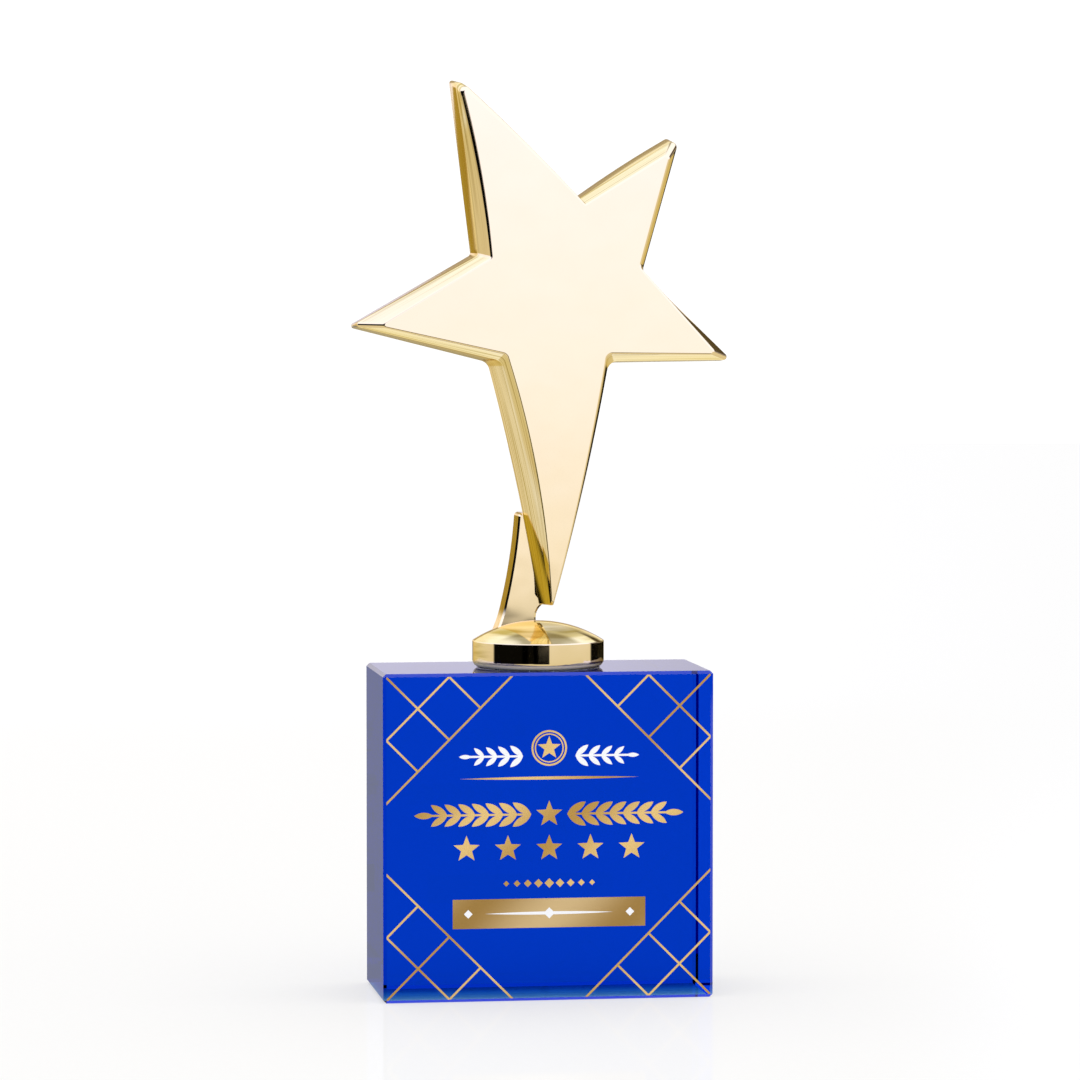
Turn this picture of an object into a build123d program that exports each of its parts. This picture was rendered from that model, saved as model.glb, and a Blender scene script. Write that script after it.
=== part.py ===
from build123d import *
import math
import os

# Star trophy: a polished gold star on a curved fin, screwed to a domed gold puck that is
# glued onto a chamfered block of cobalt crystal. Millimetres, +Z up, and the front faces -Y.
# The origin is the middle of the block's underside, where the trophy rests on the table.

# ------------------------------------------------------------------ driving dimensions
block_width = 80.0
block_depth = 37.5
block_height = 79.0
block_chamfer = 0.75

glue_thickness = 0.2
glue_radius = 15.0

puck_radius = 16.0
puck_rim_height = 6.3
puck_dome_rise = 4.75
puck_foot_round = 1.6
puck_rim_round = 0.35

# The fin's outline as (x, height), clockwise from its top left corner as seen from the front.
# The points named middle are the middles of arcs.
fin_thickness = 8.0
fin_top_left = (-4.7, 116.4)
fin_top_right = (4.4, 116.4)
fin_right_bend = (4.4, 106.0)
fin_throat_top = (1.6, 94.4)
fin_throat_middle = (0.1, 93.05)
fin_throat_bottom = (-0.5, 91.0)
fin_foot_left_x = -11.2
fin_ankle_middle = (-9.15, 90.2)
fin_ankle_top = (-7.95, 94.6)
fin_shin_middle = (-5.95, 105.0)
fin_top_round = 1.0
fin_edge_bevel = 0.5

star_face_y = -14.0
star_shoulder_y = -10.0
star_rear_y = 0.0

# The star's corners, clockwise from the top tip as seen from the front, as (x, height).
# Tips and notches take turns. The bevel runs from the flat face out to the shoulder, and
# the side wall runs from the shoulder back to the rear.
face_corners = [
    (-21.9, 221.6), (9.5, 191.0), (30.4, 203.8), (22.8, 176.0), (41.8, 154.9),
    (14.8, 155.2), (1.3, 93.3), (-9.6, 155.1), (-40.5, 161.8), (-13.3, 178.2),
]
shoulder_corners = [
    (-21.9, 221.8), (8.3, 192.2), (33.2, 207.6), (23.9, 174.7), (45.8, 153.6),
    (15.8, 153.3), (1.8, 92.9), (-10.4, 153.5), (-46.4, 162.0), (-16.0, 178.7),
]
rear_corners = [
    (-21.9, 221.9), (8.9, 192.8), (33.0, 208.1), (24.4, 174.4), (46.6, 153.2),
    (16.4, 152.8), (0.4, 92.9), (-12.5, 153.0), (-46.7, 161.6), (-16.6, 178.9),
]

# How far each side bows out, starting from the side after the top tip.
face_bows = [0.5, 0, 0, 0, 0, 0.8, -2.2, 0, 0, -1.1]
shoulder_bows = [0.6, 0, 0, 0, 0, 0.8, -1.3, 0, 0, -0.4]
rear_bows = [0.6, 0.4, 0, 0, 0, 0.8, -0.8, 0, 0, 0]

# The round on each corner.
face_rounds = [1.3, 0.2, 0.9, 1.6, 0.8, 1.6, 0.4, 1.6, 0.8, 0.6]
shoulder_rounds = [1.1, 0.8, 1.3, 2.4, 0.8, 2.6, 0.4, 2.4, 0.7, 1.0]
rear_rounds = [0.7, 0.8, 1.0, 2.6, 0.8, 3.0, 0.4, 2.8, 0.7, 1.0]

# Fasteners: nominal sizes, with a small clearance in every hole and at every hole's end.
hole_clearance = 0.05
hole_end_gap = 0.5
pin_chamfer = 0.2
foot_screw_x = -5.4
foot_screw_radius = 1.5
foot_screw_length = 10.0
foot_screw_chamfer = 0.3
foot_head_radius = 2.75
foot_head_height = 3.0
foot_socket_inradius = 1.25
foot_socket_depth = 1.5
flat_washer_radius = 3.5
flat_washer_thickness = 0.5
lock_washer_radius = 3.1
lock_washer_thickness = 0.8
lock_washer_gap = 0.5
lock_washer_slant = 20.0
foot_bore_radius = 4.0
foot_bore_depth = 6.0
foot_pin_x = -2.3
foot_pin_radius = 0.75
foot_pin_length = 6.0
foot_pin_sink = 3.0

star_screw_x = 1.2
star_screw_heights = (104.5, 112.5)
star_screw_radius = 1.25
star_screw_head_radius = 2.35
star_screw_length = 12.0
star_socket_inradius = 0.75
star_socket_depth = 1.2
star_pin_height = 108.5
star_pin_radius = 0.75
star_pin_length = 10.0
star_pin_sink = 0.6

# Gold and white films on the block's front face.
film_thickness = 0.1
lattice_pitch = 15.1
lattice_line = 0.5
leaf_belly_place = 0.42
leaf_slimness = 0.33
stem_width = 0.5
small_star_radius = 3.3
small_star_notch = 0.42
rule_width = 0.75

emblem_height = 60.9
emblem_rings = [(4.3, 3.85), (3.5, 3.2)]
emblem_star_radius = 2.9
sprig_height = 59.0
sprig_inner_x = 6.4
sprig_length = 15.4
sprig_pairs = 4
sprig_leaf = 4.0
sprig_slant = 40.0
sprig_taper = 0.25
title_rule_height = 53.7
title_rule_length = 43.4

garland_height = 45.0
garland_length = 65.2
garland_inner_x = 4.4
garland_pairs = 7
garland_leaf = 5.3
garland_slant = 33.0
garland_taper = 0.1
star_row_height = 36.8
star_row_spacing = 10.0
star_row_count = 5
bead_row_height = 28.4
bead_row_spacing = 2.6
bead_row_count = 9
bead_size = 2.3
bead_taper = 0.23

plate_height = 21.2
plate_width = 46.7
plate_tall = 7.05
plate_rule_length = 31.0
plate_middle_mark = 2.7
plate_end_mark = 2.1
plate_mark_x = 19.6
plate_mark_thickness = 0.05

# ------------------------------------------------------------------ derived places
puck_bottom = block_height + glue_thickness
rim_top = puck_bottom + puck_rim_height
dome_top = rim_top + puck_dome_rise
dome_radius = (puck_radius**2 + puck_dome_rise**2) / (2 * puck_dome_rise)
block_front = Plane.XZ.offset(block_depth / 2)
face_half_width = block_width / 2 - block_chamfer
fastener_y = fin_thickness / 2
foot_bore_roof = puck_bottom + foot_bore_depth
foot_washer_face = foot_bore_roof - flat_washer_thickness
foot_head_top = foot_washer_face - lock_washer_thickness
foot_head_bottom = foot_head_top - foot_head_height
foot_screw_top = foot_head_top + foot_screw_length
foot_pin_bottom = dome_top - foot_pin_sink
foot_pin_top = foot_pin_bottom + foot_pin_length

upright = (Align.CENTER, Align.CENTER, Align.MIN)

os.makedirs("parts", exist_ok=True)


def save(piece, name):
    """Labels a finished piece and writes it to its own file."""
    piece.part.label = name
    export_step(piece.part, f"parts/{name}.step")


# ------------------------------------------------------------------ crystal block and glue
def make_block():
    with BuildPart() as block:
        with Locations((0, 0, block_height / 2)):
            Box(block_width, block_depth, block_height)
        chamfer(block.edges(), block_chamfer)
    save(block, "crystal_block")


def make_glue_film():
    with BuildPart() as glue:
        with BuildSketch(Plane.XY.offset(block_height)):
            Circle(glue_radius)
        extrude(amount=glue_thickness)
    save(glue, "glue_film")


# ------------------------------------------------------------------ puck
def make_puck():
    """The domed disc on the block. A wide bore in its underside takes the screw's head."""
    rim_edge = (puck_radius, rim_top)
    foot_edge = (puck_radius, puck_bottom)
    with BuildPart() as puck:
        with BuildSketch(Plane.XZ) as profile:
            with BuildLine():
                Polyline((0, dome_top), (0, puck_bottom), foot_edge, rim_edge)
                RadiusArc(rim_edge, (0, dome_top), -dome_radius)
            make_face()
            fillet(profile.vertices().sort_by_distance(rim_edge)[0], puck_rim_round)
            fillet(profile.vertices().sort_by_distance(foot_edge)[0], puck_foot_round)
        revolve(axis=Axis.Z)
        bore_up(foot_screw_x, foot_bore_radius, puck_bottom, foot_bore_roof)
        bore_up(foot_screw_x, foot_screw_radius + hole_clearance, puck_bottom, dome_top)
        bore_up(foot_pin_x, foot_pin_radius + hole_clearance, foot_pin_bottom, dome_top)
    save(puck, "base_puck")


def bore_up(x, radius, bottom, top):
    """Cuts a round upright hole, in line with the middle of the fin, into the open part."""
    with Locations((x, fastener_y, bottom)):
        Cylinder(radius, top - bottom, align=upright, mode=Mode.SUBTRACT)


# ------------------------------------------------------------------ fin
def make_fin():
    """The curved blade behind the star's lower tip. Its foot is cut to the puck's dome."""
    foot_right = (fin_throat_bottom[0], rim_top)
    foot_left = (fin_foot_left_x, rim_top)
    screw_hole_radius = foot_screw_radius + hole_clearance
    pin_hole_radius = foot_pin_radius + hole_clearance
    with BuildPart() as fin:
        with BuildSketch(Plane.XZ) as outline:
            with BuildLine():
                Polyline(fin_top_left, fin_top_right, fin_right_bend, fin_throat_top)
                ThreePointArc(fin_throat_top, fin_throat_middle, fin_throat_bottom)
                Polyline(fin_throat_bottom, foot_right, foot_left)
                ThreePointArc(foot_left, fin_ankle_middle, fin_ankle_top)
                ThreePointArc(fin_ankle_top, fin_shin_middle, fin_top_left)
            make_face()
            fillet(outline.vertices().group_by(Axis.Y)[-1], fin_top_round)
        extrude(amount=-fin_thickness)
        front_edges = fin.faces().sort_by(Axis.Y)[0].edges()
        chamfer(front_edges.sort_by(Axis.Z)[1:], fin_edge_bevel)
        with Locations((0, 0, dome_top - dome_radius)):
            Sphere(dome_radius, mode=Mode.SUBTRACT)
        bore_up(foot_screw_x, screw_hole_radius, puck_bottom, foot_screw_top + hole_end_gap)
        bore_up(foot_pin_x, pin_hole_radius, puck_bottom, foot_pin_top + hole_end_gap)
        for height in star_screw_heights:
            bore_forwards(height, star_screw_radius, fin_thickness, star_rear_y)
            screw_head(height, hole_clearance, Mode.SUBTRACT)
        bore_forwards(star_pin_height, star_pin_radius, fin_thickness, star_rear_y)
    save(fin, "support_fin")


# ------------------------------------------------------------------ star
def star_section(y, corners, bows, rounds):
    """The star's outline in the plane at y, with bowed sides and rounded corners."""
    with BuildSketch(Plane.XZ.offset(-y)) as section:
        with BuildLine():
            for start, end, bow in zip(corners, corners[1:] + corners[:1], bows):
                star_side(Vector(*start), Vector(*end), bow)
        make_face()
        for corner, radius in zip(corners, rounds):
            fillet(section.vertices().sort_by_distance(corner)[0], radius)
    return section.sketch


def star_side(start, end, bow):
    """A side of the star: straight, or an arc whose middle stands out by bow."""
    outward = (end - start).rotate(Axis.Z, 90).normalized()
    if bow:
        ThreePointArc(start, (start + end) / 2 + outward * bow, end)
    else:
        Line(start, end)


def make_star():
    screw_hole_end = fin_thickness - star_screw_length - hole_end_gap
    pin_hole_end = fin_thickness - star_pin_sink - star_pin_length - hole_end_gap
    with BuildPart() as star:
        loft(
            sections=[
                star_section(star_rear_y, rear_corners, rear_bows, rear_rounds),
                star_section(star_shoulder_y, shoulder_corners, shoulder_bows, shoulder_rounds),
                star_section(star_face_y, face_corners, face_bows, face_rounds),
            ],
            ruled=True,
        )
        for height in star_screw_heights:
            bore_forwards(height, star_screw_radius, star_rear_y, screw_hole_end)
        bore_forwards(star_pin_height, star_pin_radius, star_rear_y, pin_hole_end)
    save(star, "star")


def bore_forwards(height, radius, rear_y, front_y):
    """Cuts a round level hole into the open part, a little wider than its pin or screw."""
    with Locations((star_screw_x, (rear_y + front_y) / 2, height)):
        Cylinder(radius + hole_clearance, rear_y - front_y, rotation=(90, 0, 0), mode=Mode.SUBTRACT)


# ------------------------------------------------------------------ fasteners
def make_foot_screw():
    """The cap screw that holds the fin to the puck from below."""
    with BuildPart() as screw:
        with Locations((foot_screw_x, fastener_y, foot_head_bottom)):
            Cylinder(foot_head_radius, foot_head_height, align=upright)
        chamfer(screw.edges().group_by(Axis.Z)[0], foot_screw_chamfer)
        with Locations((foot_screw_x, fastener_y, foot_head_top)):
            Cylinder(foot_screw_radius, foot_screw_length, align=upright)
        chamfer(screw.edges().group_by(Axis.Z)[-1], foot_screw_chamfer)
        with BuildSketch(Plane.XY.offset(foot_head_bottom)):
            with Locations((foot_screw_x, fastener_y)):
                RegularPolygon(foot_socket_inradius, 6, major_radius=False)
        extrude(amount=foot_socket_depth, mode=Mode.SUBTRACT)
    save(screw, "foot_screw")


def make_foot_washers():
    """A split spring washer, pressed flat, and the plain washer above it."""
    with BuildPart() as lock_washer:
        ring(foot_head_top, lock_washer_radius, lock_washer_thickness)
        wall = lock_washer_radius - foot_screw_radius
        with Locations((foot_screw_x + lock_washer_radius, fastener_y, foot_head_top)):
            Box(
                2 * wall,
                lock_washer_gap,
                4 * lock_washer_thickness,
                rotation=(lock_washer_slant, 0, 0),
                mode=Mode.SUBTRACT,
            )
    save(lock_washer, "foot_lock_washer")
    with BuildPart() as flat_washer:
        ring(foot_washer_face, flat_washer_radius, flat_washer_thickness)
    save(flat_washer, "foot_flat_washer")


def ring(bottom, outer_radius, thickness):
    """A washer round the foot screw."""
    with Locations((foot_screw_x, fastener_y, bottom)):
        Cylinder(outer_radius, thickness, align=upright)
        Cylinder(foot_screw_radius + hole_clearance, thickness, align=upright, mode=Mode.SUBTRACT)


def make_foot_pin():
    """The pin beside the foot screw. It stops the fin from turning on the puck."""
    with BuildPart() as pin:
        with Locations((foot_pin_x, fastener_y, foot_pin_bottom)):
            Cylinder(foot_pin_radius, foot_pin_length, align=upright)
        chamfer(pin.edges().filter_by(GeomType.CIRCLE), pin_chamfer)
    save(pin, "foot_pin")


def make_star_screws():
    """Two countersunk screws that hold the star to the fin from behind."""
    with BuildPart() as screws:
        for height in star_screw_heights:
            with Locations((star_screw_x, fin_thickness - star_screw_length / 2, height)):
                Cylinder(star_screw_radius, star_screw_length, rotation=(90, 0, 0))
            screw_head(height, 0, Mode.ADD)
            socket_plane = Plane(origin=(star_screw_x, fin_thickness, height), z_dir=(0, 1, 0))
            with BuildSketch(socket_plane):
                RegularPolygon(star_socket_inradius, 6, major_radius=False)
            extrude(amount=-star_socket_depth, mode=Mode.SUBTRACT)
    save(screws, "star_screws")


def screw_head(height, clearance, mode):
    """The cone of a countersunk head, flush with the back of the fin, or the seat cut for it."""
    cone_length = star_screw_head_radius - star_screw_radius
    with Locations((star_screw_x, fin_thickness - cone_length / 2, height)):
        Cone(
            star_screw_radius + clearance,
            star_screw_head_radius + clearance,
            cone_length,
            rotation=(-90, 0, 0),
            mode=mode,
        )


def make_star_pin():
    """The pin between the star's screws. It sits a little below the back of the fin."""
    pin_middle = fin_thickness - star_pin_sink - star_pin_length / 2
    with BuildPart() as pin:
        with Locations((star_screw_x, pin_middle, star_pin_height)):
            Cylinder(star_pin_radius, star_pin_length, rotation=(90, 0, 0))
        chamfer(pin.edges().filter_by(GeomType.CIRCLE), pin_chamfer)
    save(pin, "star_pin")


# ------------------------------------------------------------------ films on the front face
def film(name, draw, plane=None, thickness=film_thickness):
    """A thin film in the shape that draw sketches, on the block's front face or a given plane."""
    with BuildPart() as layer:
        with BuildSketch(plane or block_front):
            draw()
        extrude(amount=thickness)
    save(layer, name)


def lattice_corner(side, end):
    """A corner's lattice of slanting lines. side is -1 at the left, and end is -1 at the bottom."""
    pitch = lattice_pitch
    runs = [
        [(0, 0), (pitch, pitch)],
        [(2 * pitch, 0), (0, 2 * pitch)],
        [(pitch, 0), (0, pitch)],
        [(pitch, 0), (1.5 * pitch, 0.5 * pitch)],
        [(0, pitch), (0.5 * pitch, 1.5 * pitch)],
    ]
    middle = block_height / 2
    face_half_height = middle - block_chamfer

    def draw():
        for run in runs:
            first, last = (
                Vector(side * (face_half_width - u), middle + end * (face_half_height - v))
                for u, v in run
            )
            along = last - first
            centre = (first + last) / 2
            slant = math.degrees(math.atan2(along.Y, along.X))
            with Locations(Location((centre.X, centre.Y, 0), slant)):
                Rectangle(along.length + lattice_line, lattice_line)
        with Locations((0, middle)):
            Rectangle(2 * face_half_width, 2 * face_half_height, mode=Mode.INTERSECT)

    return draw


def leaf(x, height, length, turn):
    """A pointed leaf growing from (x, height) at an angle of turn."""
    belly_x = leaf_belly_place * length
    belly_y = leaf_slimness * length / 2
    outline = [Vector(0, 0), Vector(belly_x, belly_y), Vector(length, 0), Vector(belly_x, -belly_y)]
    root, upper, tip, lower = (point.rotate(Axis.Z, turn) + Vector(x, height) for point in outline)
    with BuildLine() as edge:
        ThreePointArc(root, upper, tip)
        ThreePointArc(tip, lower, root)
    make_face(edge.edges())


def branch(side, start_x, height, length, pairs, leaf_length, slant, taper):
    """A level stem with pairs of leaves and one at its tip. Each pair is shorter by taper."""
    tip_leaf = leaf_length - pairs * taper
    stem = length - tip_leaf
    step = stem / pairs
    outward = 0 if side > 0 else 180
    stem_end = stem + leaf_belly_place * tip_leaf / 2
    with Locations((side * (start_x + stem_end / 2), height)):
        Rectangle(stem_end, stem_width)
    for pair in range(pairs):
        x = side * (start_x + pair * step)
        for leaf_slant in (-slant, slant):
            leaf(x, height, leaf_length - pair * taper, outward + side * leaf_slant)
    leaf(side * (start_x + stem), height, tip_leaf, outward)


def star_shape(x, height, radius):
    """A regular five-pointed star."""
    corners = []
    for point in range(5):
        tip = Vector(0, radius).rotate(Axis.Z, 72 * point)
        notch = Vector(0, radius * small_star_notch).rotate(Axis.Z, 72 * point + 36)
        corners += [tip + Vector(x, height), notch + Vector(x, height)]
    with BuildLine() as edge:
        Polyline(*corners, close=True)
    make_face(edge.edges())


def lozenge(x, height, width):
    """A square that stands on its corner."""
    with Locations(Location((x, height, 0), 45)):
        Rectangle(width / math.sqrt(2), width / math.sqrt(2))


def tapered_rule(height, length, width):
    """A level rule that tapers to a point at both ends."""
    left = (-length / 2, height)
    right = (length / 2, height)
    with BuildLine() as edge:
        ThreePointArc(left, (0, height + width / 2), right)
        ThreePointArc(right, (0, height - width / 2), left)
    make_face(edge.edges())


def draw_emblem():
    """A small star in a double ring."""
    with Locations((0, emblem_height)):
        for outer, inner in emblem_rings:
            Circle(outer)
            Circle(inner, mode=Mode.SUBTRACT)
    star_shape(0, emblem_height, emblem_star_radius)


def draw_sprigs():
    """A leafy sprig at each side of the emblem."""
    for side in (-1, 1):
        stem = (side, sprig_inner_x, sprig_height, sprig_length)
        branch(*stem, sprig_pairs, sprig_leaf, sprig_slant, sprig_taper)


def draw_title_rule():
    tapered_rule(title_rule_height, title_rule_length, rule_width)


def draw_garland():
    """A laurel garland that grows outwards from a star in the middle."""
    star_shape(0, garland_height, small_star_radius)
    length = garland_length / 2 - garland_inner_x
    for side in (-1, 1):
        stem = (side, garland_inner_x, garland_height, length)
        branch(*stem, garland_pairs, garland_leaf, garland_slant, garland_taper)


def draw_star_row():
    first_x = -star_row_spacing * (star_row_count - 1) / 2
    for place in range(star_row_count):
        star_shape(first_x + place * star_row_spacing, star_row_height, small_star_radius)


def draw_bead_row():
    """Small lozenges, larger towards the middle."""
    middle = (bead_row_count - 1) / 2
    for place in range(bead_row_count):
        offset = place - middle
        lozenge(offset * bead_row_spacing, bead_row_height, bead_size - bead_taper * abs(offset))


def draw_plate():
    with Locations((0, plate_height)):
        Rectangle(plate_width, plate_tall)


def draw_plate_marks():
    """A tapered rule with a lozenge in its middle, between two smaller lozenges."""
    tapered_rule(plate_height, plate_rule_length, rule_width)
    lozenge(0, plate_height, plate_middle_mark)
    for side in (-1, 1):
        lozenge(side * plate_mark_x, plate_height, plate_end_mark)


def make_films():
    for across, side in (("left", -1), ("right", 1)):
        for upright_name, end in (("bottom", -1), ("top", 1)):
            film(f"lattice_{upright_name}_{across}", lattice_corner(side, end))
    film("emblem", draw_emblem)
    film("emblem_sprigs", draw_sprigs)
    film("title_rule", draw_title_rule)
    film("garland", draw_garland)
    film("star_row", draw_star_row)
    film("bead_row", draw_bead_row)
    film("name_plate", draw_plate)
    plate_front = block_front.offset(film_thickness)
    film("name_plate_marks", draw_plate_marks, plate_front, plate_mark_thickness)


make_block()
make_glue_film()
make_puck()
make_fin()
make_star()
make_foot_screw()
make_foot_washers()
make_foot_pin()
make_star_screws()
make_star_pin()
make_films()
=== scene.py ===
import bmesh
import bpy
import math
from mathutils import Matrix, Vector


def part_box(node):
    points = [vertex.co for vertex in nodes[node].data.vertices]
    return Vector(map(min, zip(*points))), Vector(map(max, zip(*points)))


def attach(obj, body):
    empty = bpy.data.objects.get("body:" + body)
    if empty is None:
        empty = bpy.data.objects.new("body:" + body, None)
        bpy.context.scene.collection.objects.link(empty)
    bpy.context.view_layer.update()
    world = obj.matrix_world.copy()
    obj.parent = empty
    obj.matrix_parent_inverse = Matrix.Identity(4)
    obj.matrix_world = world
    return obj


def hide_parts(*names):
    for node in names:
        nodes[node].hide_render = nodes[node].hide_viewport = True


# Star trophy: the looks. The star gets a finer mesh with rounded edges, built from the CAD
# star's own outlines, and the other pieces keep their CAD shapes. Metres, +Z up, front -Y.
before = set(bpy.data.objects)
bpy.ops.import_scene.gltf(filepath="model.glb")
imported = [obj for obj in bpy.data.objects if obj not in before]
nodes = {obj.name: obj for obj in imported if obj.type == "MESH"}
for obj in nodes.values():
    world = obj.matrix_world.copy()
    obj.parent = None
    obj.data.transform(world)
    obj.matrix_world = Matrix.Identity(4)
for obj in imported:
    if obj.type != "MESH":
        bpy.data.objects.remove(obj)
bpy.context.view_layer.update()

# ------------------------------------------------------------------ sizes of the star's mesh
MM = 0.001

# How far in from its sharp edge the face starts to round off, at each corner of the star,
# clockwise from the top tip, in millimetres. Along a side it changes evenly. The same round
# goes down the bevel by face_rounding_depth times as much.
face_rounding = [1.0, 0.4, 0.45, 0.4, 0.35, 0.35, 0.2, 0.35, 0.4, 0.45]
face_rounding_depth = 0.7
shoulder_rounding = 0.3
rear_rounding = 0.3

# The least radius that moving an outline inwards leaves at a tip, and how far inside the
# rounds the flat middles of the face and the rear start, in millimetres.
sharpest_tip = 0.08
cap_margin = 0.06

# How many points there are round a corner and along a side, and steps across a rounded edge.
corner_points = 12
side_points = 44
face_round_steps = 7
small_round_steps = 4

# For reading the CAD star: how far a flat face's normal may be off, and how far apart, in
# metres, two places or two depths count as the same.
flat_tolerance = 1e-4
same_place = 1e-6
same_depth = 1e-5

# The longest segment, in millimetres, that can be part of a corner's round, and how much an
# arc has to bulge, as an area in square millimetres, to be drawn as one.
longest_corner_step = 2.0
least_bulge = 0.01


# ------------------------------------------------------------------ outlines of the CAD star
def is_flat(face):
    """True for a face that looks straight to the front or the back."""
    return abs(abs(face.normal.y) - 1) < flat_tolerance


def outline_at(mesh, y, flat_neighbours):
    """The longest closed run of edges in the plane at y, as (x, z) points in millimetres."""
    follows = {}
    for edge in mesh.edges:
        level = all(abs(corner.co.y - y) < same_place for corner in edge.verts)
        if level and sum(is_flat(face) for face in edge.link_faces) == flat_neighbours:
            first, second = edge.verts
            follows.setdefault(first, []).append(second)
            follows.setdefault(second, []).append(first)
    longest = []
    left = set(follows)
    while left:
        start = min(left, key=lambda corner: corner.index)
        loop = [start]
        before, here = start, follows[start][0]
        while here is not start:
            loop.append(here)
            onward = follows[here][1] if follows[here][0] is before else follows[here][0]
            before, here = here, onward
        left -= set(loop)
        longest = max(longest, loop, key=len)
    points = [Vector((corner.co.x, corner.co.z)) / MM for corner in longest]
    area = sum(a.x * b.y - b.x * a.y for a, b in zip(points, points[1:] + points[:1]))
    return points[::-1] if area > 0 else points


def circle_through(a, b, c):
    """The centre and radius of the circle through three points."""
    ab, ac = b - a, c - a
    cross = 2 * (ab.x * ac.y - ab.y * ac.x)
    across = (ac.y * ab.length_squared - ab.y * ac.length_squared) / cross
    up = (ab.x * ac.length_squared - ac.x * ab.length_squared) / cross
    return a + Vector((across, up)), math.hypot(across, up)


def arc_of(run):
    """A run of points along a line or an arc of less than half a turn, as (start, middle, end)."""
    start, end = run[0], run[-1]
    halfway = (start + end) / 2
    if len(run) == 2:
        return start, halfway, end
    centre, radius = circle_through(start, run[len(run) // 2], end)
    return start, centre + (halfway - centre).normalized() * radius, end


def corners_and_sides(points):
    """An outline as ten corner arcs and ten sides, clockwise from the top tip.

    A side is a run of long segments. The short ones that join two sides are a corner's round.
    """
    count = len(points)
    steps = [points[(i + 1) % count] - points[i] for i in range(count)]
    is_long = [step.length > longest_corner_step for step in steps]
    side_starts = [i for i in range(count) if is_long[i] and not is_long[i - 1]]
    corners, sides = [], []
    for start, following in zip(side_starts, side_starts[1:] + [side_starts[0] + count]):
        end = start
        while is_long[end % count]:
            end += 1
        sides.append(arc_of([points[i % count] for i in range(start, end + 1)]))
        corners.append(arc_of([points[i % count] for i in range(end, following + 1)]))
    corners = corners[-1:] + corners[:-1]
    top = max(range(len(corners)), key=lambda place: corners[place][1].y)
    return corners[top:] + corners[:top], sides[top:] + sides[:top]


def inset(outline, distances):
    """The outline moved inwards, by the distance that is given for each of its corners."""
    corners, sides = outline
    moved = []
    for (start, middle, end), distance in zip(corners, distances):
        centre, radius = circle_through(start, middle, end)
        is_tip = (end - start).cross(middle - start) > 0
        if is_tip:
            new_radius = max(radius - distance, sharpest_tip)
            half_angle_sine = (start - centre).dot(middle - centre) / radius**2
            slide = (distance + new_radius - radius) / half_angle_sine
            new_centre = centre + (centre - middle).normalized() * slide
        else:
            new_radius = radius + distance
            new_centre = centre
        moved.append(tuple(
            new_centre + (point - centre) * new_radius / radius for point in (start, middle, end)
        ))
    new_sides = []
    for place, (start, middle, end) in enumerate(sides):
        following = (place + 1) % len(sides)
        inward = Vector((end.y - start.y, start.x - end.x)).normalized()
        distance = (distances[place] + distances[following]) / 2
        new_sides.append((moved[place][2], middle + inward * distance, moved[following][0]))
    return moved, new_sides


def arc_points(arc, count):
    """Points spread evenly along an arc, from its start up to but not including its end."""
    start, middle, end = arc
    if abs((end - start).cross(middle - start)) < least_bulge:
        return [start.lerp(end, i / count) for i in range(count)]
    centre, radius = circle_through(start, middle, end)
    first, halfway = start - centre, middle - centre
    turn = 2 * math.atan2(first.cross(halfway), first.dot(halfway))
    return [centre + Matrix.Rotation(turn * i / count, 2) @ first for i in range(count)]


def ring_at(y, outline):
    """Points all round an outline, in the plane at y."""
    corners, sides = outline
    points = []
    for corner, side in zip(corners, sides):
        points += arc_points(corner, corner_points) + arc_points(side, side_points)
    return [Vector((point.x, y, point.y)) for point in points]


def spread_round(values):
    """A value for each point of a ring, from one value for each corner."""
    spread = []
    for value, following in zip(values, values[1:] + values[:1]):
        spread += [value] * corner_points
        spread += [value + (following - value) * i / side_points for i in range(side_points)]
    return spread


def rounded(start, corner, end, steps):
    """Points on the arc that cuts a corner off, from start to end."""
    weight = math.cos((corner - start).angle(end - corner) / 2)
    points = []
    for i in range(steps + 1):
        t = i / steps
        shares = (1 - t) ** 2, 2 * weight * t * (1 - t), t**2
        points.append((start * shares[0] + corner * shares[1] + end * shares[2]) / sum(shares))
    return points


def towards(start, end, distance):
    """The point at a distance from start, on the way to end."""
    return start + (end - start).normalized() * distance


# ------------------------------------------------------------------ meshes
def new_piece(name, mesh, *replaced):
    """A piece made from a bmesh, that rides on the trophy and stands for the CAD nodes named."""
    data = bpy.data.meshes.new(name)
    mesh.to_mesh(data)
    mesh.free()
    for polygon in data.polygons:
        polygon.use_smooth = True
    piece = bpy.data.objects.new(name, data)
    bpy.context.scene.collection.objects.link(piece)
    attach(piece, "root")
    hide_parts(*replaced)
    return piece


def skin_rings(rings):
    """A closed mesh that joins each ring to the next and fills the first and the last."""
    mesh = bmesh.new()
    corners = [[mesh.verts.new(point * MM) for point in ring] for ring in rings]
    for ring, following in zip(corners, corners[1:]):
        for i in range(len(ring)):
            mesh.faces.new((ring[i - 1], ring[i], following[i], following[i - 1]))
    caps = [mesh.faces.new(corners[0][::-1]), mesh.faces.new(corners[-1])]
    mesh.normal_update()
    bmesh.ops.triangulate(mesh, faces=caps)
    bmesh.ops.recalc_face_normals(mesh, faces=mesh.faces)
    return mesh


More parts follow.
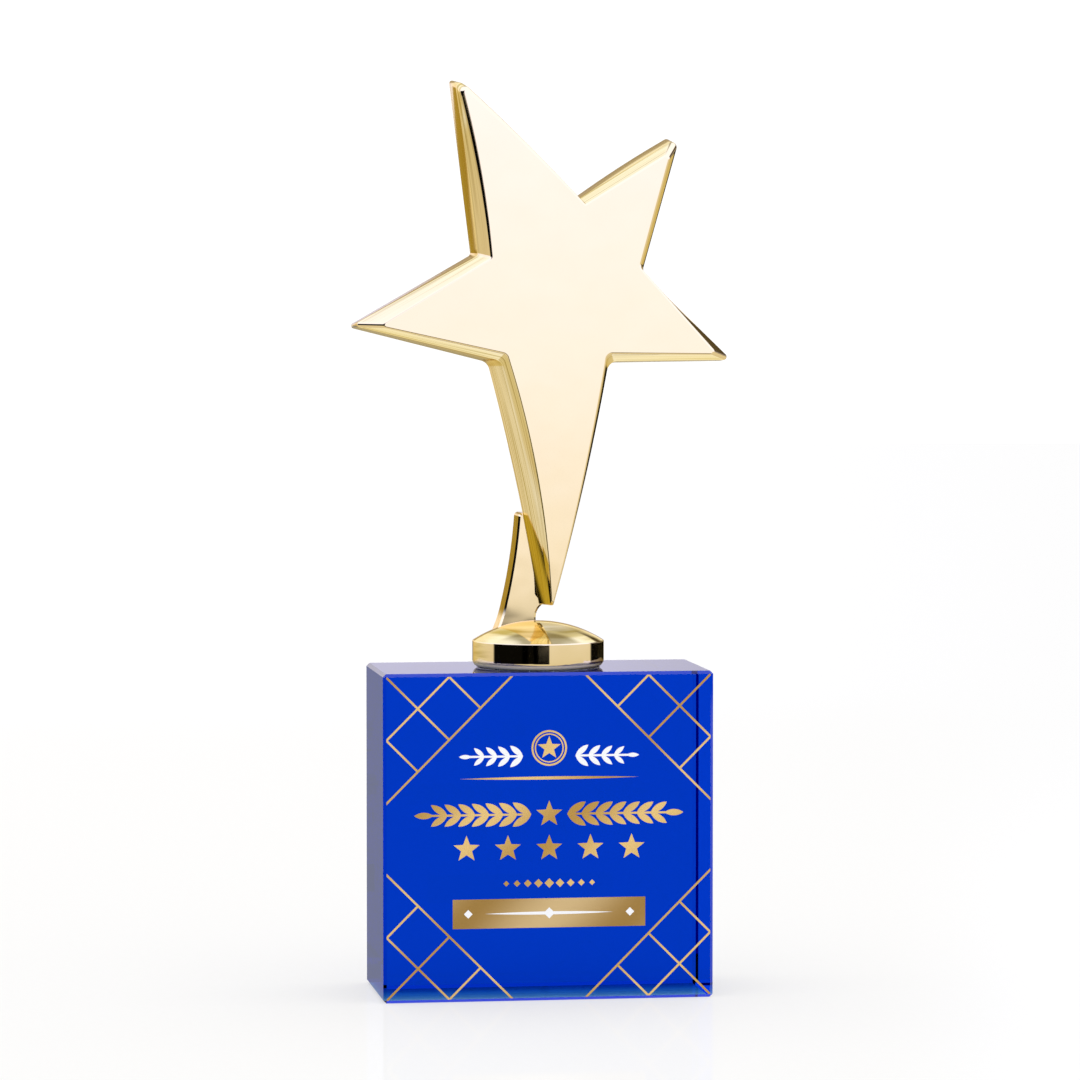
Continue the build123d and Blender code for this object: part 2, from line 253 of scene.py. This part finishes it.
def make_star():
    """The star, with a flat face, a bevel, a side wall and a flat rear, and rounded edges."""
    source = bmesh.new()
    source.from_mesh(nodes["star"].data)
    bmesh.ops.remove_doubles(source, verts=source.verts, dist=same_place)
    face_y, rear_y = (corner.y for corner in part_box("star"))
    depths = [round(corner.co.y, 5) for corner in source.verts]
    inner_depths = [y for y in depths if face_y + same_depth < y < rear_y - same_depth]
    # Most of the corners between the face and the rear are the shoulder's.
    shoulder_y = max(sorted(set(inner_depths)), key=inner_depths.count)
    face = corners_and_sides(outline_at(source, face_y, 1))
    shoulder = corners_and_sides(outline_at(source, shoulder_y, 0))
    rear = corners_and_sides(outline_at(source, rear_y, 1))
    source.free()

    rear_reaches = [rear_rounding] * len(face_rounding)
    face_y, shoulder_y, rear_y = face_y / MM, shoulder_y / MM, rear_y / MM
    face_ring = ring_at(face_y, face)
    shoulder_ring = ring_at(shoulder_y, shoulder)
    rear_ring = ring_at(rear_y, rear)
    face_flat = ring_at(face_y, inset(face, face_rounding))
    rear_flat = ring_at(rear_y, inset(rear, rear_reaches))
    roundings = spread_round(face_rounding)
    profiles = []
    for flat, edge, bend, back, back_flat, rounding in zip(
        face_flat, face_ring, shoulder_ring, rear_ring, rear_flat, roundings
    ):
        bevel_start = towards(edge, bend, rounding * face_rounding_depth)
        bevel_end = towards(bend, edge, shoulder_rounding)
        wall_start = towards(bend, back, shoulder_rounding)
        wall_end = towards(back, bend, rear_rounding)
        profile = rounded(flat, edge, bevel_start, face_round_steps)
        profile += rounded(bevel_end, bend, wall_start, small_round_steps)
        profile += rounded(wall_end, back, back_flat, small_round_steps)
        profiles.append(profile)
    rings = [list(ring) for ring in zip(*profiles)]
    face_cap = ring_at(face_y, inset(face, [reach + cap_margin for reach in face_rounding]))
    rear_cap = ring_at(rear_y, inset(rear, [reach + cap_margin for reach in rear_reaches]))
    star = new_piece("star_casting", skin_rings([face_cap, *rings, rear_cap]), "star")
    return star


# ------------------------------------------------------------------ node helpers
class Nodes:
    """A node tree, with short ways to add nodes and join them."""

    def __init__(self, tree):
        self.tree = tree

    def node(self, kind, settings=None, **inputs):
        """A new node. Settings are its properties, and inputs are values or other sockets."""
        node = self.tree.nodes.new("ShaderNode" + kind)
        for name, value in (settings or {}).items():
            setattr(node, name, value)
        for name, value in inputs.items():
            self.feed(node.inputs[name.replace("_", " ")], value)
        return node

    def feed(self, socket, value):
        """Joins a socket to another one, or sets its value."""
        if isinstance(value, bpy.types.NodeSocket):
            self.tree.links.new(value, socket)
        else:
            socket.default_value = value

    def ramp(self, value, *stops):
        """A colour ramp. A stop is a position and a colour."""
        node = self.node("ValToRGB", Fac=value)
        elements = node.color_ramp.elements
        while len(elements) < len(stops):
            elements.new(1)
        for element, (position, colour) in zip(elements, stops):
            element.position = position
            element.color = (*colour, 1)
        return node.outputs["Color"]

    def span(self, value, low, high, out_low=0.0, out_high=1.0, smooth=True):
        """Maps a value from one range to another, and keeps it inside the new one."""
        return self.node(
            "MapRange",
            {"interpolation_type": "SMOOTHSTEP" if smooth else "LINEAR"},
            Value=value,
            From_Min=low,
            From_Max=high,
            To_Min=out_low,
            To_Max=out_high,
        ).outputs["Result"]

    def between(self, value, rise_start, rise_end, fall_start, fall_end):
        """1 from rise_end to fall_start and 0 outside, with soft edges."""
        rising = self.span(value, rise_start, rise_end)
        falling = self.span(value, fall_end, fall_start)
        return self.math("MULTIPLY", rising, falling)

    def math(self, operation, first, second=0.5):
        """Arithmetic on one or two numbers or sockets."""
        node = self.node("Math", {"operation": operation})
        self.feed(node.inputs[0], first)
        self.feed(node.inputs[1], second)
        return node.outputs[0]

    def mix(self, share, first, second, blend="MIX"):
        """The first colour with a share of the second mixed in. Each is a colour or a socket."""
        node = self.node("MixRGB", {"blend_type": blend}, Fac=share)
        for socket, value in ((node.inputs[1], first), (node.inputs[2], second)):
            self.feed(socket, (*value, 1) if isinstance(value, tuple) else value)
        return node.outputs[0]


class Shader(Nodes):
    """A new material's nodes, around its Principled shader."""

    def __init__(self, name):
        self.material = bpy.data.materials.new(name)
        self.material.use_nodes = True
        super().__init__(self.material.node_tree)
        self.surface = self.tree.nodes["Principled BSDF"]
        self.output = self.tree.nodes["Material Output"]

    def set(self, **inputs):
        """Sets the shader's own sockets."""
        for name, value in inputs.items():
            self.feed(self.surface.inputs[name.replace("_", " ")], value)

    def place(self, scale):
        """Object coordinates in millimetres, times a scale for each axis."""
        coordinates = self.node("TexCoord").outputs["Object"]
        scale = tuple(value / MM for value in scale)
        return self.node("Mapping", Vector=coordinates, Scale=scale).outputs["Vector"]

    def noise(self, scale, detail=2.0):
        """Smooth noise. The scale along each axis is how often it varies in a millimetre."""
        node = self.node("TexNoise", Vector=self.place(scale), Scale=1.0, Detail=detail)
        return node.outputs["Fac"]

    def bump(self, height, strength, depth):
        """Sets a bump from a height. Its depth is in millimetres."""
        node = self.node("Bump", Height=height, Strength=strength, Distance=depth * MM)
        self.set(Normal=node.outputs["Normal"])


def give(material, *names):
    """Puts a material on CAD nodes."""
    for name in names:
        for slot in nodes[name].material_slots:
            slot.material = material


# ------------------------------------------------------------------ materials
# How often the polishing lines vary in a millimetre along each axis: round the puck, up the
# fin, and along the star's walls.
puck_lines = (0.03, 0.03, 0.35)
fin_lines = (1.6, 1.6, 0.03)
star_lines = (0.02, 2.2, 0.02)
puck_underside_metallic = 0.2


def gold_plating(name, line_scale, underside_metallic=1.0):
    """Mirror-polished pale gold. The sides carry long polishing lines, and their darker, yellower
    colour is a painted reflection.

    line_scale is how often the lines vary along each axis. With an underside_metallic below 1,
    surfaces that look down show some gold of their own under what they reflect.
    """
    shader = Shader(name)
    normal = shader.node("SeparateXYZ", Vector=shader.node("NewGeometry").outputs["Normal"]).outputs
    # 0 where the surface looks to the front or the back, and 1 on the sides.
    side = shader.span(shader.math("ABSOLUTE", normal["Y"]), 0.75, 0.3)
    lines = shader.noise(line_scale, detail=3)
    clouds = shader.noise((0.09, 0.09, 0.09))
    # Darker, yellower streaks on the side walls: polishing lines, and a painted reflection of dim
    # surroundings.
    polish_lines_and_painted_reflection = shader.ramp(
        lines,
        (0.36, (0.5, 0.38, 0.12)),
        (0.5, (0.97, 0.85, 0.52)),
        (0.7, (0.82, 0.68, 0.33)),
    )
    pale = shader.mix(clouds, (0.98, 0.815, 0.57), (1.0, 0.85, 0.6))
    shader.set(Base_Color=shader.mix(side, pale, polish_lines_and_painted_reflection))
    shader.set(Metallic=shader.span(normal["Z"], -0.5, -0.2, underside_metallic, 1.0))
    shader.set(Specular_Tint=(0.96, 0.8, 0.46, 1))
    shader.set(Roughness=shader.span(side, 0, 1, 0.03, 0.08))
    wave = shader.noise((0.12, 0.12, 0.12), detail=1)
    ripple = shader.math("MULTIPLY", shader.math("MULTIPLY", lines, side), 0.04)
    shader.bump(shader.math("ADD", wave, ripple), 0.25, 0.06)
    return shader.material


def cobalt_crystal():
    """Deep blue optical crystal. The thickness of the glass gives it its colour."""
    shader = Shader("cobalt crystal")
    haze = shader.noise((0.35, 0.35, 0.35), detail=4)
    shader.set(Base_Color=(1, 1, 1, 1), Transmission_Weight=1.0, IOR=1.5)
    shader.set(Roughness=shader.span(haze, 0.3, 0.7, 0.0, 0.012))
    depth = shader.node("VolumeAbsorption", Color=(0.0, 0.558, 0.921, 1), Density=190.0)
    shader.feed(shader.output.inputs["Volume"], depth.outputs["Volume"])
    return shader.material


def clear_glue():
    """Cured clear glue, with rougher patches."""
    shader = Shader("clear glue")
    bubbles = shader.noise((2, 2, 2), detail=3)
    shader.set(Base_Color=(0.9, 0.92, 0.97, 1), Transmission_Weight=0.9, IOR=1.47)
    shader.set(Roughness=shader.span(bubbles, 0.35, 0.7, 0.05, 0.3))
    return shader.material


def plated_screw():
    """Gold-plated fasteners, with a fine grain."""
    shader = Shader("gold-plated screw")
    grain = shader.noise((3, 3, 3), detail=4)
    shader.set(Base_Color=shader.mix(grain, (0.85, 0.66, 0.36), (0.98, 0.8, 0.5)), Metallic=1.0)
    shader.set(Roughness=shader.span(grain, 0.3, 0.7, 0.12, 0.24))
    shader.bump(grain, 0.3, 0.02)
    return shader.material


def zinc_steel():
    """Zinc-plated steel, satin and a little cloudy."""
    shader = Shader("zinc-plated steel")
    grain = shader.noise((2.5, 2.5, 2.5), detail=5)
    shader.set(Base_Color=shader.mix(grain, (0.5, 0.5, 0.53), (0.72, 0.72, 0.74)), Metallic=1.0)
    shader.set(Roughness=shader.span(grain, 0.3, 0.7, 0.22, 0.4))
    shader.bump(grain, 0.3, 0.02)
    return shader.material


def gold_foil(name, dark, light):
    """Printed gold foil, with a painted diagonal sheen in its colour and a very fine grain."""
    shader = Shader(name)
    # Lighter diagonal bands in the colour: a painted sheen.
    bands = shader.node(
        "TexWave",
        {"wave_type": "BANDS", "bands_direction": "DIAGONAL"},
        Vector=shader.place((1, 0, -1)),
        Scale=0.016,
        Distortion=0.6,
    ).outputs["Fac"]
    grain = shader.noise((6, 6, 6), detail=3)
    painted_sheen = shader.math("MULTIPLY", bands, 0.9)
    speckle = shader.math("MULTIPLY", grain, 0.1)
    tone = shader.math("ADD", painted_sheen, speckle)
    shader.set(Base_Color=shader.mix(tone, dark, light), Metallic=0.3)
    shader.set(Roughness=shader.span(grain, 0.3, 0.7, 0.28, 0.42))
    shader.bump(grain, 0.2, 0.02)
    return shader.material


def white_ink():
    """White enamel print, with a very fine grain."""
    shader = Shader("white ink")
    grain = shader.noise((5, 5, 5), detail=3)
    shader.set(Base_Color=shader.mix(grain, (0.86, 0.87, 0.9), (0.97, 0.97, 0.98)))
    shader.set(Roughness=shader.span(grain, 0.3, 0.7, 0.3, 0.45))
    shader.bump(grain, 0.15, 0.01)
    return shader.material


def paint_nodes():
    """Gives every CAD node but the star its material."""
    give(gold_plating("gold plating, turned", puck_lines, puck_underside_metallic), "base_puck")
    give(gold_plating("gold plating, lengthwise", fin_lines), "support_fin")
    give(cobalt_crystal(), "crystal_block")
    give(clear_glue(), "glue_film")
    give(zinc_steel(), "foot_screw", "foot_lock_washer", "foot_flat_washer", "foot_pin")
    give(plated_screw(), "star_screws", "star_pin")
    print_foil = gold_foil("gold print", (0.5, 0.28, 0.05), (0.88, 0.61, 0.23))
    give(print_foil, *(name for name in nodes if name.startswith("lattice_")))
    give(print_foil, "emblem", "title_rule", "garland", "star_row", "bead_row")
    give(gold_foil("gold plate foil", (0.36, 0.2, 0.035), (0.72, 0.52, 0.25)), "name_plate")
    give(white_ink(), "emblem_sprigs", "name_plate_marks")


# ------------------------------------------------------------------ studio
room_white = (1.1, 1.1, 1.1)

# What polished metal sees all round it in place of the white room: a softbox, whose colour
# changes with the height above the horizon in degrees, and panels in front of the softbox.
softbox_colours = [
    (-4.5, (0.74, 0.67, 0.46)),
    (-3.2, (0.98, 0.95, 0.9)),
    (-1.0, (1.05, 1.09, 1.25)),
    (3.0, (1.24, 1.18, 1.55)),
    (12.0, (1.13, 1.2, 1.5)),
]

black = (0.004, 0.004, 0.004)
umber = (0.09, 0.07, 0.04)
bark = (0.35, 0.32, 0.25)
olive = (0.42, 0.32, 0.06)
bronze = (0.45, 0.38, 0.22)
dusk = (0.42, 0.39, 0.29)
amber = (0.75, 0.78, 0.26)
grey = (0.7, 0.7, 0.68)
cool_grey = (0.68, 0.68, 0.78)
champagne = (0.96, 0.93, 0.9)
blue = (0.43, 0.52, 1.15)
pale_blue = (1.2, 1.36, 2.3)
table_white = (1.4, 1.6, 2.6)

# A panel is the direction that its azimuths are measured from, the azimuths towards +X and
# the heights between which it fades in and out, in degrees, and the colour that it multiplies
# the softbox by. A colour above 1 brightens it. Each was placed to give the gold a dark,
# bright or coloured reflection that it has in the photo.
panels = [
    ("front", (-95, -90, -28, -23), (-16, -12, 11, 16), black),
    ("front", (-38, -33, -10, -6), (-5.8, -5.4, 11, 16), black),
    ("front", (-32, -27, -12, -8), (-12, -10, -6.4, -6.0), amber),
    ("front", (-18, -14, 10.5, 12.75), (-16, -12, -4.05, -3.8), black),
    ("front", (-12, -8, -3, 2), (-1.5, -0.5, 11, 16), black),
    ("front", (94, 100, 160, 166), (-5.1, -4.7, -3, 0), black),
    ("front", (148, 152, 160, 166), (-16, -12, -5, -4.8), black),
    ("front", (94, 100, 164, 172), (-3, 0, 5, 8), bark),
    ("front", (94, 100, 156, 162), (5, 8, 25, 29), umber),
    ("front", (-170, -160, -140, -130), (-16, -12, -7, -6), pale_blue),
    ("front", (-178, -170, -95, -90), (-16, -12, 24, 40), champagne),
    ("back", (-3, 3, 12, 18), (-16, -12, 4.6, 5.2), grey),
    ("back", (-6, -2, 12, 16), (4.6, 5.2, 12, 15), bronze),
    ("back", (-24, -18, -13, -10), (-90, -80, 12, 20), champagne),
    ("back", (-13, -10, -3, 3), (-16, -12, -4.2, -3.6), blue),
    ("back", (-20, -17, -5, -3), (-2.3, -1.7, 0.5, 1.5), olive),
    ("back", (-25, -20, 30, 40), (-90, -85, -35, -25), table_white),
    ("back", (-20, -8, 30, 45), (42, 50, 70, 80), dusk),
    ("back", (2, 8, 20, 27), (15, 22, 40, 46), cool_grey),
]

# The floor is lit partly from within, so that it stays nearly as white as the room.
floor_size = 4.0
floor_glow = 0.55
floor_mirror_share = 0.07

# The photo's camera. It is turned towards +X and tilted down, in degrees, and its lens and
# sensor are in millimetres.
camera_place = (-0.1695, -1.1724, 0.1717)
camera_turn = 8.25
camera_tilt = 2.99
camera_lens = 162.8
camera_sensor = 36.0


def studio_world():
    """A white room, with the softbox and its panels for whatever reflects."""
    world = bpy.data.worlds.new("studio")
    bpy.context.scene.world = world
    world.use_nodes = True
    world.node_tree.nodes.clear()
    sky = Nodes(world.node_tree)
    direction = sky.node("TexCoord").outputs["Generated"]
    x, y, z = sky.node("SeparateXYZ", Vector=direction).outputs

    def degrees(radians):
        return sky.math("MULTIPLY", radians, math.degrees(1))

    height = degrees(sky.math("ARCSINE", z))
    azimuth_from = {
        "front": degrees(sky.math("ARCTAN2", x, sky.math("MULTIPLY", y, -1.0))),
        "back": degrees(sky.math("ARCTAN2", x, y)),
    }
    lowest, highest = softbox_colours[0][0], softbox_colours[-1][0]
    stops = [((level - lowest) / (highest - lowest), colour) for level, colour in softbox_colours]
    reflected = sky.ramp(sky.span(height, lowest, highest, smooth=False), *stops)
    for measured_from, azimuths, heights, colour in panels:
        across = sky.between(azimuth_from[measured_from], *azimuths)
        share = sky.math("MULTIPLY", across, sky.between(height, *heights))
        reflected = sky.mix(share, reflected, colour, "MULTIPLY")

    is_reflection = sky.node("LightPath").outputs["Is Glossy Ray"]
    background = sky.node("Background", Color=sky.mix(is_reflection, room_white, reflected))
    sky.node("OutputWorld", Surface=background.outputs[0])


def make_floor():
    """A wide pale table with a faint gloss. The trophy's own reflections don't show it."""
    mesh = bmesh.new()
    bmesh.ops.create_grid(mesh, x_segments=8, y_segments=8, size=floor_size)
    data = bpy.data.meshes.new("floor")
    mesh.to_mesh(data)
    mesh.free()
    floor = bpy.data.objects.new("floor", data)
    bpy.context.scene.collection.objects.link(floor)
    shader = Shader("pale table")
    speckle = shader.noise((0.5, 0.5, 0.5), detail=3)
    shader.set(Base_Color=shader.mix(speckle, (0.43, 0.43, 0.43), (0.45, 0.45, 0.45)))
    shader.set(Roughness=0.6, Specular_IOR_Level=0.0)
    shader.set(Emission_Color=(1, 1, 1, 1), Emission_Strength=floor_glow)
    gloss = shader.node("BsdfGlossy", Color=(1, 1, 1, 1), Roughness=0.05)
    blend = shader.node("MixShader", Fac=floor_mirror_share)
    shader.feed(blend.inputs[1], shader.surface.outputs[0])
    shader.feed(blend.inputs[2], gloss.outputs[0])
    shader.feed(shader.output.inputs["Surface"], blend.outputs[0])
    data.materials.append(shader.material)
    floor.visible_glossy = False


def make_camera():
    """The camera that took the photo."""
    data = bpy.data.cameras.new("camera")
    data.lens = camera_lens
    data.sensor_width = camera_sensor
    camera = bpy.data.objects.new("camera", data)
    camera.location = camera_place
    camera.rotation_euler = (math.radians(90 - camera_tilt), 0, math.radians(-camera_turn))
    bpy.context.scene.collection.objects.link(camera)
    bpy.context.scene.camera = camera


paint_nodes()
star = make_star()
star.data.materials.append(gold_plating("gold plating, long lines", star_lines))
studio_world()
make_floor()
make_camera()
bpy.context.scene.view_settings.view_transform = "Standard"
